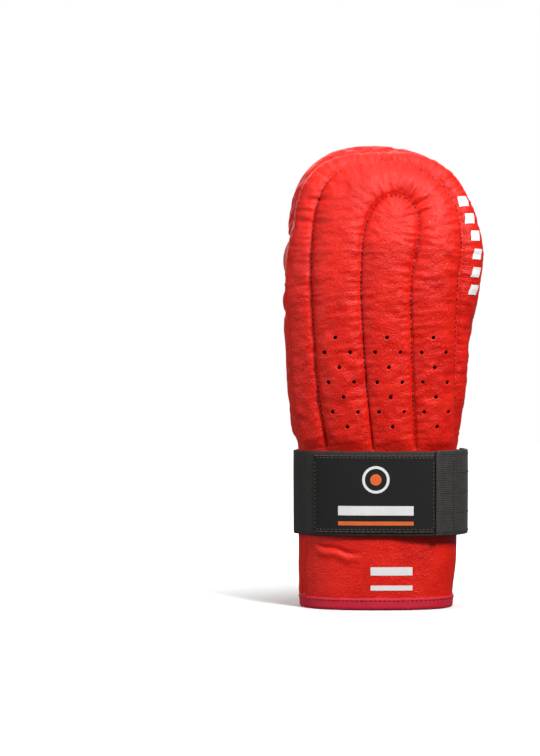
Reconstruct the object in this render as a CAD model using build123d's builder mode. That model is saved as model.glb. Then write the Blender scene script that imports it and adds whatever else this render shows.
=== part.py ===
"""Right-hand bag mitt: a padded leather mitt for punching a heavy bag, standing on its cuff.

Frame: millimetres, +Z from the cuff's hem to the fingertips, -Y the padded back of the hand, +Y the palm,
-X the thumb side and +X the little-finger side. The origin is the centre of the cuff's mouth, in the plane of
the hem.

Everything between the outer leather and the hand's cavity is made from nested forms, one inside the next:
outer leather, foam, lining. Each form is a loft through oval stations. Panels are cut from these shells by
outlines drawn on the XZ plane, the way a pattern cutter lays them out.
"""

import os
from collections import namedtuple
from math import copysign, cos, radians, sin

from build123d import *

Station = namedtuple("Station", "z left right back palm")
ThumbStation = namedtuple("ThumbStation", "z x y half_width half_depth")

# ---------------------------------------------------------------- driving dimensions, mm
LEATHER = 1.4  # hide of the outer panels
LINING = 0.8
TAPE = 0.9  # edge binding, each side of the edge it wraps
HEM_BAND = 8.0  # height of the binding at the hem
BASE_SHARE = 0.4  # share of the back's foam that is the plain base sheet
CORNER_POWER = 2.5  # 2 is an ellipse, more is squarer
SECTION_POINTS = 16
SECTION_START = 202.5  # degrees; a form's surface is in two faces, from here round the back and then the palm
BACK_FACE_SPANS = 6  # of the section's points, which clears every cut from where the two faces meet
HEIGHTS = [  # of a form's sections, as shares of its height
    -0.02, 0.0, 0.03, 0.065, 0.1, 0.135, 0.17, 0.205, 0.24, 0.275, 0.31, 0.345, 0.385, 0.43, 0.48, 0.53, 0.585,
    0.64, 0.695, 0.745, 0.79, 0.83, 0.868, 0.902, 0.932, 0.957, 0.977, 0.991, 1.0,
]  # fmt: skip
REACH = 90.0  # past the mitt on every side, for cutting tools

STRAP_BOTTOM, STRAP_TOP = 44.5, 95.5
STRAP_THICKNESS = 1.6
ELASTIC_CLEARANCE = 1.2  # room for the slit's binding under the strap
SEWN_GAP = 0.05
TAPE_PILE = 1.0  # hook tape and loop tape, each
MOVING_GAP = 0.4

CHANNEL_BOTTOM = 90.0  # the quilted channels end under the strap
VENT_RADIUS = 1.2

OUTER = [
    Station(-6, -46.3, 44.6, -30.5, 30.5),
    Station(12, -47.2, 46.2, -31.0, 31.0),
    Station(30, -47.4, 48.2, -31.0, 31.0),
    Station(45, -47.5, 48.5, -31.0, 31.0),
    Station(72, -47.5, 48.5, -31.0, 31.0),
    Station(96, -47.5, 48.5, -31.0, 31.0),
    Station(112, -50.5, 50.0, -32.5, 30.5),
    Station(135, -54.0, 53.0, -34.5, 29.5),
    Station(165, -56.0, 55.5, -36.5, 29.0),
    Station(190, -57.5, 60.0, -37.5, 29.5),
    Station(215, -55.5, 63.0, -37.0, 30.5),
    Station(235, -52.5, 59.5, -34.0, 31.0),
    Station(252, -49.0, 52.5, -28.5, 30.5),
    Station(264, -42.5, 44.0, -21.5, 28.5),
    Station(272, -34.0, 33.5, -13.5, 25.0),
    Station(277.5, -23.0, 21.0, -4.5, 19.5),
    Station(280, -11.0, 8.0, 3.0, 12.5),
]

CAVITY = [
    Station(-6, -42.3, 40.8, -26.5, 26.5),
    Station(12, -43.0, 42.2, -26.2, 27.0),
    Station(30, -43.0, 43.8, -25.7, 27.0),
    Station(45, -43.0, 44.0, -25.0, 27.0),
    Station(72, -43.0, 44.0, -24.0, 27.0),
    Station(96, -43.0, 44.0, -22.5, 27.0),
    Station(112, -45.0, 45.5, -20.0, 26.3),
    Station(135, -47.0, 48.0, -18.0, 25.3),
    Station(162, -48.5, 50.0, -17.5, 24.5),
    Station(184, -49.0, 53.0, -17.0, 22.5),
    Station(205, -48.5, 54.0, -16.0, 18.5),
    Station(223, -45.0, 51.0, -13.5, 20.0),
    Station(237, -39.0, 43.0, -9.0, 19.5),
    Station(246, -31.0, 34.0, -4.0, 18.0),
    Station(252, -22.0, 24.0, 0.5, 16.5),
    Station(256, -12.0, 13.0, 4.5, 14.5),
    Station(258, -5.0, 6.0, 7.0, 12.0),
]

THUMB = [
    ThumbStation(100, -40.0, 24.5, 9.0, 6.5),
    ThumbStation(106, -40.0, 28.0, 13.0, 10.0),
    ThumbStation(118, -40.5, 32.5, 15.5, 13.0),
    ThumbStation(135, -40.0, 37.5, 16.5, 14.0),
    ThumbStation(152, -38.0, 41.0, 16.5, 13.5),
    ThumbStation(168, -35.0, 43.5, 15.5, 12.5),
    ThumbStation(181, -31.5, 44.5, 12.5, 10.0),
    ThumbStation(189, -29.0, 45.0, 7.5, 6.0),
]
THUMB_PADDING = 2.0
THUMB_HINGE = (-54.0, 19.1)  # upright line that the thumb swings about
THUMB_MOUTH_DIRECTION = (33.0, 12.0, 0.0)
PASSAGE_CENTRE = (-41.5, 122.0)  # x and z of the hole that joins the thumb to the hand's cavity
PASSAGE_RADII = (8.0, 13.0)

# Quilting lines on the back, x and z, from the thumb side round the fingertips to the little finger.
OUTER_QUILT = [
    (-29.5, 90), (-32.6, 108), (-36.1, 128), (-39.1, 165), (-40.8, 205.5), (-39.1, 234), (-33.5, 254),
    (-22.6, 265.5), (-5.4, 271), (11.9, 270), (28.2, 264.2), (41.2, 252.2), (48.1, 235.8), (49.0, 215),
    (46.4, 191), (45.5, 148), (45.8, 125), (46.6, 90),
]  # fmt: skip
INNER_QUILT = [
    (-3.3, 90), (-6.3, 117.7), (-8.9, 143.6), (-11.0, 178), (-11.4, 200), (-9.3, 227), (-2.0, 243.5),
    (8.5, 249), (18.5, 245), (23.0, 235), (22.6, 222), (19.2, 202), (18.0, 187), (18.8, 156.5), (20.0, 122),
    (21.7, 90),
]  # fmt: skip

# Seams on the palm, x and z.
ROLL_SLOPE = -0.135  # the grip roll runs downhill towards the little finger
ROLL_TOP, ROLL_BOTTOM = 218.5, 192.5  # at x = 0
ROLL_BULGE = 8.5
ROLL_CENTRE_Y = 27.0
MESH_BORDER = [
    (-REACH, 199.0), (-58.7, 194.0), (-42.6, 180.0), (-33.0, 164.0), (-29.0, 151.0), (-23.0, 141.0),
    (-11.0, 135.5), (13.0, 132.5), (43.0, 130.5), (REACH, 128.5),
]  # fmt: skip
GUSSET_BORDER = [(-33.0, 150.0), (-38.0, 157.0), (-49.0, 171.0), (-58.7, 181.0), (-REACH, 203.0)]
SIDE_SEAM_X = -33.0

SLIT_X = 5.5
SLIT_TOP = 112.0
SLIT_HALF_WIDTH = 1.0
FLARE_TOP = 25.0  # the slit's corners start to round off towards the hem here
FLARE_RADIUS = 26.0
SLIT_BAND = 6.5


# ---------------------------------------------------------------- forms


def squircle(angle):
    """x and y from -1 to 1 at this angle, in degrees, round a rounded rectangle."""
    c, s = cos(radians(angle)), sin(radians(angle))
    power = 2 / CORNER_POWER
    return copysign(abs(c) ** power, c), copysign(abs(s) ** power, s)


def station_point(station, angle):
    """A point on a station's outline. Angle 0 is the little-finger side and 90 the palm."""
    x, y = squircle(angle)
    middle = (station.left + station.right) / 2
    half = (station.right - station.left) / 2
    depth = station.palm if y > 0 else -station.back
    centre = 0 if station.back < 0 else (station.back + station.palm) / 2
    if centre:
        depth = (station.palm - station.back) / 2
    return middle + half * x, centre + depth * y, station.z


def slopes(heights, values):
    """Slopes for a smooth curve through the values that never overshoots them."""
    steps = [(b - a) / (v - u) for a, b, u, v in zip(values, values[1:], heights, heights[1:])]
    inner = [2 * a * b / (a + b) if a * b > 0 else 0.0 for a, b in zip(steps, steps[1:])]
    return [steps[0], *inner, steps[-1]]


def filled_in(stations):
    """The same outline given at closer heights, so that a loft through it keeps to it."""
    heights = [s.z for s in stations]
    columns = list(zip(*stations))
    tilts = [slopes(heights, column) for column in columns]
    filled = []
    for share in HEIGHTS:
        z = share * heights[-1]
        i = max(k for k in range(len(heights) - 1) if heights[k] <= z or k == 0)
        gap = heights[i + 1] - heights[i]
        t = (z - heights[i]) / gap
        row = [
            (2 * t**3 - 3 * t**2 + 1) * column[i]
            + (t**3 - 2 * t**2 + t) * gap * tilt[i]
            + (3 * t**2 - 2 * t**3) * column[i + 1]
            + (t**3 - t**2) * gap * tilt[i + 1]
            for column, tilt in zip(columns, tilts)
        ]
        filled.append(Station(*row))
    return filled


def grown(stations, amount):
    """The same stations, larger by this amount on every side and at the top. Negative is smaller."""
    top = stations[-1].z
    return [
        Station(
            s.z * (top + amount) / top,
            s.left - amount,
            s.right + amount,
            s.back - amount,
            s.palm + amount,
        )
        for s in stations
    ]


def between(inner, outer, share):
    """Stations this share of the way from inner to outer."""
    return [Station(*(a + (b - a) * share for a, b in zip(i, o))) for i, o in zip(inner, outer)]


def oval_arc(points, first, last):
    """A smooth curve through some of an oval's points, with ends that carry on into the rest of the oval."""
    count = len(points)
    ring = [Vector(*points[i % count]) for i in range(first - 1, last + 2)]
    tangents = [(ring[2] - ring[0]) / 2, (ring[-1] - ring[-3]) / 2]
    span = ring[1:-1]
    return Edge.make_spline(span, tangents=tangents, parameters=list(range(len(span))), scale=False)


def form(stations):
    """The solid inside these stations."""
    angles = [SECTION_START + 360 * i / SECTION_POINTS for i in range(SECTION_POINTS)]
    with BuildPart() as solid:
        for station in stations:
            points = [station_point(station, angle)[:2] for angle in angles]
            with BuildSketch(Plane.XY.offset(station.z)):
                with BuildLine():
                    add(oval_arc(points, 0, BACK_FACE_SPANS))
                    add(oval_arc(points, BACK_FACE_SPANS, SECTION_POINTS))
                make_face()
        loft()
    return solid.part


def thumb_form(amount):
    """The thumb's solid, larger by this amount on every side. Negative is smaller."""
    middle = (THUMB[0].z + THUMB[-1].z) / 2
    half = (THUMB[-1].z - THUMB[0].z) / 2
    with BuildPart() as solid:
        for s in THUMB:
            height = middle + (s.z - middle) * (half + amount) / half
            with BuildSketch(Plane.XY.offset(height)):
                with Locations((s.x, s.y)):
                    Ellipse(s.half_width + amount, s.half_depth + amount)
        loft()
    return solid.part


outer_stations = filled_in(OUTER)
foam_stations = grown(outer_stations, -LEATHER)
cavity_stations = filled_in(CAVITY)
lining_stations = grown(cavity_stations, LINING)

outer_form = form(outer_stations)
foam_form = form(foam_stations)
base_form = form(between(lining_stations, foam_stations, BASE_SHARE))
lining_form = form(lining_stations)
cavity_form = form(cavity_stations)

# The back panel meets the palm panels on this plane, nearer the back on the thumb side.
side_seam = Plane(origin=(60, 2, 0), x_dir=(1, 0.105, 0), z_dir=(0.105, -1, 0))
hem_plane = Plane.XY.offset(TAPE)
thumb_mouth = Plane(
    origin=(*THUMB_HINGE, 0),
    x_dir=THUMB_MOUTH_DIRECTION,
    z_dir=(-THUMB_MOUTH_DIRECTION[1], THUMB_MOUTH_DIRECTION[0], 0),
)


# ---------------------------------------------------------------- outlines on the XZ plane


def roll_line(height, x):
    return (x, height + ROLL_SLOPE * x)


def slit_outline(margin):
    """The slit in the palm side of the cuff, which flares out at the hem, larger by this margin."""
    half = SLIT_HALF_WIDTH + margin
    radius = FLARE_RADIUS - margin
    corner = SLIT_HALF_WIDTH + FLARE_RADIUS
    reach = radius * sin(radians(45))
    with BuildSketch(Plane.XZ) as outline:
        with BuildLine():
            ThreePointArc(
                (SLIT_X + corner, FLARE_TOP - radius),
                (SLIT_X + corner - reach, FLARE_TOP - reach),
                (SLIT_X + half, FLARE_TOP),
            )
            Line((SLIT_X + half, FLARE_TOP), (SLIT_X + half, SLIT_TOP))
            ThreePointArc((SLIT_X + half, SLIT_TOP), (SLIT_X, SLIT_TOP + half), (SLIT_X - half, SLIT_TOP))
            Line((SLIT_X - half, SLIT_TOP), (SLIT_X - half, FLARE_TOP))
            ThreePointArc(
                (SLIT_X - half, FLARE_TOP),
                (SLIT_X - corner + reach, FLARE_TOP - reach),
                (SLIT_X - corner, FLARE_TOP - radius),
            )
            Polyline(
                (SLIT_X - corner, FLARE_TOP - radius),
                (SLIT_X - corner, -REACH),
                (SLIT_X + corner, -REACH),
                (SLIT_X + corner, FLARE_TOP - radius),
            )
        make_face()
    return outline.sketch


with BuildSketch(Plane.XZ) as fingertip_zone:
    with BuildLine():
        Polyline(
            roll_line(ROLL_TOP, -REACH),
            roll_line(ROLL_TOP, REACH),
            (REACH, 300),
            (-REACH, 300),
            close=True,
        )
    make_face()

with BuildSketch(Plane.XZ) as roll_zone:
    with BuildLine():
        Polyline(
            roll_line(ROLL_BOTTOM, -REACH),
            roll_line(ROLL_BOTTOM, REACH),
            roll_line(ROLL_TOP, REACH),
            roll_line(ROLL_TOP, -REACH),
            close=True,
        )
    make_face()

with BuildSketch(Plane.XZ) as mesh_zone:
    with BuildLine():
        Spline(*MESH_BORDER)
        Polyline(
            MESH_BORDER[-1],
            roll_line(ROLL_BOTTOM, REACH),
            roll_line(ROLL_BOTTOM, -REACH),
            MESH_BORDER[0],
        )
    make_face()

with BuildSketch(Plane.XZ) as side_zone:
    with BuildLine():
        Polyline(
            (SIDE_SEAM_X, -REACH / 3),
            *GUSSET_BORDER,
            (-REACH, -REACH / 3),
            close=True,
        )
    make_face()

with BuildSketch(Plane.XZ) as palm_zone:
    with BuildLine():
        Polyline(
            (SIDE_SEAM_X, -REACH / 3),
            (REACH, -REACH / 3),
            (REACH, 300),
            (SIDE_SEAM_X, 300),
            close=True,
        )
    make_face()

with BuildSketch(Plane.XZ) as inner_quilt_zone:
    with BuildLine():
        Spline(*INNER_QUILT)
        Line(INNER_QUILT[-1], INNER_QUILT[0])
    make_face()

with BuildSketch(Plane.XZ) as outer_quilt_zone:
    with BuildLine():
        Spline(*OUTER_QUILT)
        Line(OUTER_QUILT[-1], OUTER_QUILT[0])
    make_face()


def vent_places():
    """x and z of the vent holes: rows of one and two in turn, down the middle of three channels."""
    rows = 7
    pitch = 8.9
    top = 163.5
    spread = 7.6
    channels = [(-27.0, -19.6), (3.7, 7.4), (31.8, 34.4)]  # each channel's middle at the top and bottom row
    places = []
    for upper, lower in channels:
        for row in range(rows):
            middle = upper + (lower - upper) * row / (rows - 1)
            z = top - pitch * row
            if row % 2:
                places += [(middle - spread, z), (middle + spread, z)]
            else:
                places.append((middle, z))
    return places


with BuildSketch(Plane.XZ) as vent_holes:
    with Locations(*vent_places()):
        Circle(VENT_RADIUS)

with BuildSketch(Plane.XZ) as passage:
    with Locations(PASSAGE_CENTRE):
        Ellipse(*PASSAGE_RADII)


def cut_slit_and_passage():
    """Opens the cuff's slit, with room for its binding, and the thumb's passage in the part being built."""
    extrude(slit_outline(TAPE), amount=-REACH, mode=Mode.SUBTRACT)
    extrude(passage.sketch, amount=-REACH, mode=Mode.SUBTRACT)


def layer(outside, inside, back):
    """What lies between two forms above the hem's binding, on the back or the palm side of the seam."""
    with BuildPart() as shell:
        add(outside)
        add(inside, mode=Mode.SUBTRACT)
        split(bisect_by=hem_plane, keep=Keep.TOP)
        split(bisect_by=side_seam, keep=Keep.TOP if back else Keep.BOTTOM)
        if not back:
            cut_slit_and_passage()
    return shell.part


def write(solid, name):
    """Labels a finished piece and writes its STEP file."""
    solid.label = name
    export_step(solid, f"parts/{name}.step")


os.makedirs("parts", exist_ok=True)

# ---------------------------------------------------------------- back of the hand

with BuildPart() as back_leather:
    add(layer(outer_form, foam_form, back=True))
    extrude(vent_holes.sketch, amount=REACH, mode=Mode.SUBTRACT)
write(back_leather.part, "back_leather")

back_foam = layer(foam_form, base_form, back=True)

with BuildPart() as centre_foam:
    add(back_foam)
    extrude(inner_quilt_zone.sketch, amount=REACH, both=True, mode=Mode.INTERSECT)
    extrude(vent_holes.sketch, amount=REACH, mode=Mode.SUBTRACT)
write(centre_foam.part, "centre_channel_foam")

with BuildPart() as arch_foam:
    add(back_foam)
    extrude(outer_quilt_zone.sketch, amount=REACH, both=True, mode=Mode.INTERSECT)
    extrude(inner_quilt_zone.sketch, amount=REACH, both=True, mode=Mode.SUBTRACT)
    extrude(vent_holes.sketch, amount=REACH, mode=Mode.SUBTRACT)
write(arch_foam.part, "arch_channel_foam")

with BuildPart() as rim_foam:
    add(back_foam)
    split(bisect_by=Plane.XY.offset(CHANNEL_BOTTOM), keep=Keep.TOP)
    extrude(outer_quilt_zone.sketch, amount=REACH, both=True, mode=Mode.SUBTRACT)
write(rim_foam.part, "rim_foam")

with BuildPart() as cuff_foam:
    add(back_foam)
    split(bisect_by=Plane.XY.offset(CHANNEL_BOTTOM), keep=Keep.BOTTOM)
write(cuff_foam.part, "cuff_foam")

write(layer(base_form, lining_form, back=True), "base_foam")
write(layer(lining_form, cavity_form, back=True), "back_lining")

# ---------------------------------------------------------------- palm

palm_skin = layer(outer_form, foam_form, back=False)
palm_fill = layer(foam_form, lining_form, back=False)

write(layer(lining_form, cavity_form, back=False), "palm_lining")


def roll_solid(inset):
    """The grip roll: a bar that bulges out of the palm between its two seams, smaller by this inset."""
    bulged = [s._replace(palm=s.palm + ROLL_BULGE) for s in outer_stations]
    middle = (ROLL_TOP + ROLL_BOTTOM) / 2
    axis = Vector(1, 0, ROLL_SLOPE).normalized()
    across = Plane(origin=(0, ROLL_CENTRE_Y, middle), x_dir=(0, 1, 0), z_dir=axis)
    half_height = (ROLL_TOP - ROLL_BOTTOM) / 2 * axis.X
    bulge_form = form(grown(bulged, -inset))
    strip_form = form(grown(outer_stations, -inset))
    with BuildPart() as bar:
        with BuildSketch(across):
            Ellipse(ROLL_BULGE + 4 - inset, half_height - inset)
        extrude(amount=REACH, both=True)
        add(bulge_form, mode=Mode.INTERSECT)
    with BuildPart() as strip:
        add(strip_form)
        extrude(roll_zone.sketch, amount=REACH, both=True, mode=Mode.INTERSECT)
    with BuildPart() as roll:
        add(strip.part)
        add(bar.part)
        split(bisect_by=side_seam, keep=Keep.BOTTOM)
    return roll.part


roll_outside = roll_solid(0)
roll_inside = roll_solid(LEATHER)

with BuildPart() as grip_roll_leather:
    add(roll_outside)
    add(roll_inside, mode=Mode.SUBTRACT)
write(grip_roll_leather.part, "grip_roll_leather")

with BuildPart() as grip_bar_foam:
    add(roll_inside)
    add(lining_form, mode=Mode.SUBTRACT)
write(grip_bar_foam.part, "grip_bar_foam")

with BuildPart() as fingertip_leather:
    add(palm_skin)
    extrude(fingertip_zone.sketch, amount=REACH, both=True, mode=Mode.INTERSECT)
write(fingertip_leather.part, "fingertip_leather")

with BuildPart() as fingertip_foam:
    add(palm_fill)
    extrude(fingertip_zone.sketch, amount=REACH, both=True, mode=Mode.INTERSECT)
write(fingertip_foam.part, "fingertip_foam")

with BuildPart() as palm_mesh:
    add(palm_skin)
    add(palm_fill)
    extrude(mesh_zone.sketch, amount=REACH, both=True, mode=Mode.INTERSECT)
write(palm_mesh.part, "palm_mesh")

with BuildPart() as palm_padding:
    add(palm_fill)
    extrude(mesh_zone.sketch, amount=REACH, both=True, mode=Mode.SUBTRACT)
    extrude(roll_zone.sketch, amount=REACH, both=True, mode=Mode.SUBTRACT)
    extrude(fingertip_zone.sketch, amount=REACH, both=True, mode=Mode.SUBTRACT)
write(palm_padding.part, "palm_padding")

with BuildPart() as lower_skin:
    add(palm_skin)
    extrude(mesh_zone.sketch, amount=REACH, both=True, mode=Mode.SUBTRACT)
    extrude(roll_zone.sketch, amount=REACH, both=True, mode=Mode.SUBTRACT)
    extrude(fingertip_zone.sketch, amount=REACH, both=True, mode=Mode.SUBTRACT)

with BuildPart() as thumb_side_leather:
    add(lower_skin.part)
    extrude(side_zone.sketch, amount=REACH, both=True, mode=Mode.INTERSECT)
write(thumb_side_leather.part, "thumb_side_leather")

with BuildPart() as palm_leather:
    add(lower_skin.part)
    extrude(palm_zone.sketch, amount=REACH, both=True, mode=Mode.INTERSECT)
write(palm_leather.part, "palm_leather")

with BuildPart() as thumb_gusset:
    add(lower_skin.part)
    extrude(side_zone.sketch, amount=REACH, both=True, mode=Mode.SUBTRACT)
    extrude(palm_zone.sketch, amount=REACH, both=True, mode=Mode.SUBTRACT)
write(thumb_gusset.part, "thumb_gusset")

# ---------------------------------------------------------------- binding of the hem and the slit

with BuildPart() as wrapped_stack:
    add(outer_form)
    add(cavity_form, mode=Mode.SUBTRACT)
    split(bisect_by=hem_plane, keep=Keep.TOP)
    extrude(slit_outline(TAPE), amount=-REACH, mode=Mode.SUBTRACT)

with BuildPart() as band_zone:
    with BuildSketch(Plane.XY):
        Rectangle(2 * REACH, 2 * REACH)
    extrude(amount=HEM_BAND)
    extrude(slit_outline(SLIT_BAND), amount=-REACH)

with BuildPart() as edge_binding:
    add(form(grown(outer_stations, TAPE)))
    add(form(grown(cavity_stations, -TAPE)), mode=Mode.SUBTRACT)
    add(band_zone.part, mode=Mode.INTERSECT)
    split(bisect_by=Plane.XY, keep=Keep.TOP)
    add(wrapped_stack.part, mode=Mode.SUBTRACT)
    extrude(slit_outline(0), amount=-REACH, mode=Mode.SUBTRACT)
write(edge_binding.part, "edge_binding")

# ---------------------------------------------------------------- thumb

thumb_outside = thumb_form(0)
thumb_foam_form = thumb_form(-LEATHER)
thumb_lining_form = thumb_form(-LEATHER - THUMB_PADDING)
thumb_cavity_form = thumb_form(-LEATHER - THUMB_PADDING - LINING)

# The thumb's two leather halves meet along its edge seam, on this plane.
thumb_edge = Plane(origin=(-40, 37.5, 135), x_dir=(1, 0, 0), z_dir=(0, 1, -0.22))


def thumb_layer(outside, inside):
    """What lies between two of the thumb's forms, on the swinging side of the thumb's mouth."""
    with BuildPart() as shell:
        add(outside)
        add(inside, mode=Mode.SUBTRACT)
        split(bisect_by=thumb_mouth.offset(MOVING_GAP), keep=Keep.TOP)
        extrude(passage.sketch, amount=-THUMB[3].y, mode=Mode.SUBTRACT)
    return shell.part


thumb_skin = thumb_layer(thumb_outside, thumb_foam_form)

with BuildPart() as thumb_outer_leather:
    add(thumb_skin)
    split(bisect_by=thumb_edge, keep=Keep.TOP)
write(thumb_outer_leather.part, "thumb_outer_leather")

with BuildPart() as thumb_inner_leather:
    add(thumb_skin)
    split(bisect_by=thumb_edge, keep=Keep.BOTTOM)
write(thumb_inner_leather.part, "thumb_inner_leather")

write(thumb_layer(thumb_foam_form, thumb_lining_form), "thumb_padding")
write(thumb_layer(thumb_lining_form, thumb_cavity_form), "thumb_lining")

with BuildPart() as thumb_base_leather:
    add(thumb_outside)
    add(thumb_foam_form, mode=Mode.SUBTRACT)
    split(bisect_by=thumb_mouth, keep=Keep.BOTTOM)
    add(outer_form, mode=Mode.SUBTRACT)
write(thumb_base_leather.part, "thumb_base_leather")

with BuildPart() as thumb_base_lining:
    add(thumb_foam_form)
    split(bisect_by=thumb_mouth, keep=Keep.BOTTOM)
    add(outer_form, mode=Mode.SUBTRACT)
    cut_slit_and_passage()
write(thumb_base_lining.part, "thumb_base_lining")

# ---------------------------------------------------------------- wrist strap

CUFF = OUTER[4]
STRAP_STEP = 5.0  # degrees between the points of a strap's outline

# Angles round the cuff: 0 the little-finger side, 90 the palm, 180 the thumb side, 270 the back.
ELASTIC_START, HINGE_ANGLE = -52.0, 186.0
LABEL_START, LABEL_END = 222.0, 304.0
TAB_START, TAB_END = 309.0, 379.0
LOOP_START, LOOP_END = -48.0, 62.0
OVERLAP_START = 268.0  # the front band starts to climb over the elastic here

loop_bottom = ELASTIC_CLEARANCE + STRAP_THICKNESS + SEWN_GAP
hook_bottom = loop_bottom + TAPE_PILE + MOVING_GAP
tab_bottom = hook_bottom + TAPE_PILE + SEWN_GAP


def cuff_point(angle, distance):
    """x and y at this angle round the cuff and this far outside its leather."""
    x, y, _ = station_point(CUFF, angle)
    ahead = Vector(*station_point(CUFF, angle + 0.5)) - Vector(*station_point(CUFF, angle - 0.5))
    normal = Vector(ahead.Y, -ahead.X).normalized()
    return x + normal.X * distance, y + normal.Y * distance


def strip(start, end, inside, thickness, bottom, top):
    """A strip of webbing round the cuff; inside gives its inner face's distance from the leather."""
    count = max(3, round((end - start) / STRAP_STEP))
    angles = [start + (end - start) * i / count for i in range(count + 1)]
    inner = [cuff_point(a, inside(a)) for a in angles]
    outer = [cuff_point(a, inside(a) + thickness) for a in angles]
    with BuildPart() as band:
        with BuildSketch(Plane.XY.offset(bottom)):
            with BuildLine():
                Spline(*inner)
                Line(inner[-1], outer[-1])
                Spline(*reversed(outer))
                Line(outer[0], inner[0])
            make_face()
        extrude(amount=top - bottom)
    return band.part


def front_band_height(angle):
    """The front band lies on the cuff, then climbs onto the elastic and its loop tape."""
    share = min(1.0, max(0.0, (angle - OVERLAP_START) / (LABEL_END - OVERLAP_START)))
    eased = share * share * (3 - 2 * share)
    return ELASTIC_CLEARANCE + eased * (hook_bottom - ELASTIC_CLEARANCE)


write(
    strip(
        ELASTIC_START,
        HINGE_ANGLE,
        lambda a: ELASTIC_CLEARANCE,
        STRAP_THICKNESS,
        STRAP_BOTTOM,
        STRAP_TOP,
    ),
    "elastic_band",
)
write(
    strip(LOOP_START, LOOP_END, lambda a: loop_bottom, TAPE_PILE, STRAP_BOTTOM + 3, STRAP_TOP - 3),
    "loop_tape",
)
write(
    strip(HINGE_ANGLE + 1, TAB_START - 0.6, front_band_height, STRAP_THICKNESS, STRAP_BOTTOM, STRAP_TOP),
    "front_band",
)
write(
    strip(
        LABEL_START,
        LABEL_END,
        lambda a: front_band_height(a) + STRAP_THICKNESS + SEWN_GAP,
        LINING,
        STRAP_BOTTOM + 2.5,
        STRAP_TOP - 2.5,
    ),
    "woven_label",
)
write(
    strip(TAB_START, TAB_END, lambda a: tab_bottom, STRAP_THICKNESS, STRAP_BOTTOM + 0.5, STRAP_TOP + 0.5),
    "pull_tab",
)
write(
    strip(TAB_START + 3, TAB_END - 4, lambda a: hook_bottom, TAPE_PILE, STRAP_BOTTOM + 3, STRAP_TOP - 3),
    "hook_tape",
)
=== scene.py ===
"""Looks of the right-hand bag mitt: leather panels, spacer mesh, strap, stitching, studio. Millimetres until put()."""

import math

import bpy
import numpy as np
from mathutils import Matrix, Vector, noise
from mathutils.bvhtree import BVHTree
from mathutils.kdtree import KDTree


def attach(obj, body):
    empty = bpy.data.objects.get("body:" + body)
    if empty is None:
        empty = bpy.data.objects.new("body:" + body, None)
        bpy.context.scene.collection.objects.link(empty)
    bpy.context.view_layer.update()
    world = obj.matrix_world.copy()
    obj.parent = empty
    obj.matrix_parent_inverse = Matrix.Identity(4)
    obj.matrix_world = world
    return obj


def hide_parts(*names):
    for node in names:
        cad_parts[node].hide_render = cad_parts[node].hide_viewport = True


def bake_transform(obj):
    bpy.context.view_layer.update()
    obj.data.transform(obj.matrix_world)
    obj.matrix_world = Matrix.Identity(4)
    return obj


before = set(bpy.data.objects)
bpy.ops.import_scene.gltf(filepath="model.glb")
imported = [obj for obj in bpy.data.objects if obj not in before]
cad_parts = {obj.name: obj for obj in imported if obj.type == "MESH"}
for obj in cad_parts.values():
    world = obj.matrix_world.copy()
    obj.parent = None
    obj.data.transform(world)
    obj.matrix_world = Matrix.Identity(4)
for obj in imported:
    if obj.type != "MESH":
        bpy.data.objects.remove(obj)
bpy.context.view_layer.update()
MM = 0.001

# ---- the hand's form, as the CAD's stations

# height, thumb side, little-finger side, back, palm
OUTER = np.array([
    (-6, -46.3, 44.6, -30.5, 30.5), (12, -47.2, 46.2, -31, 31), (30, -47.4, 48.2, -31, 31),
    (45, -47.5, 48.5, -31, 31), (72, -47.5, 48.5, -31, 31), (96, -47.5, 48.5, -31, 31),
    (112, -50.5, 50, -32.5, 30.5), (135, -54, 53, -34.5, 29.5), (165, -56, 55.5, -36.5, 29),
    (190, -57.5, 60, -37.5, 29.5), (215, -55.5, 63, -37, 30.5), (235, -52.5, 59.5, -34, 31),
    (252, -49, 52.5, -28.5, 30.5), (264, -42.5, 44, -21.5, 28.5), (272, -34, 33.5, -13.5, 25),
    (277.5, -23, 21, -4.5, 19.5), (280, -11, 8, 3, 12.5),
])  # fmt: skip
CAVITY = np.array([
    (-6, -42.3, 40.8, -26.5, 26.5), (12, -43, 42.2, -26.2, 27), (30, -43, 43.8, -25.7, 27),
    (45, -43, 44, -25, 27), (72, -43, 44, -24, 27), (96, -43, 44, -22.5, 27), (112, -45, 45.5, -20, 26.3),
    (135, -47, 48, -18, 25.3), (162, -48.5, 50, -17.5, 24.5), (184, -49, 53, -17, 22.5),
    (205, -48.5, 54, -16, 18.5), (223, -45, 51, -13.5, 20), (237, -39, 43, -9, 19.5),
    (246, -31, 34, -4, 18), (252, -22, 24, 0.5, 16.5), (256, -12, 13, 4.5, 14.5), (258, -5, 6, 7, 12),
])  # fmt: skip
THUMB = np.array([
    (100, -43.5, 24, 5, 6), (106, -44, 27, 7, 9), (118, -43.5, 32, 8.7, 12), (135, -42.5, 37, 11.3, 13.5),
    (152, -39.2, 41, 14, 13.5), (168, -34.8, 43.5, 15, 12.5), (181, -31.5, 44.5, 12.5, 10),
    (189, -29, 45, 7.5, 6),
])  # fmt: skip
THUMB_HINGE = np.array([-54.0, 19.1])
MOUTH = np.array([33.0, 12.0]) / math.hypot(33, 12)  # along the thumb's mouth, away from its hinge
LEATHER, BACK_LEATHER, LINING_SHEET = 1.0, 1.1, 0.6  # thickness of the shown sheets
HEM = 1.2  # the leather ends here, inside the binding


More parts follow.
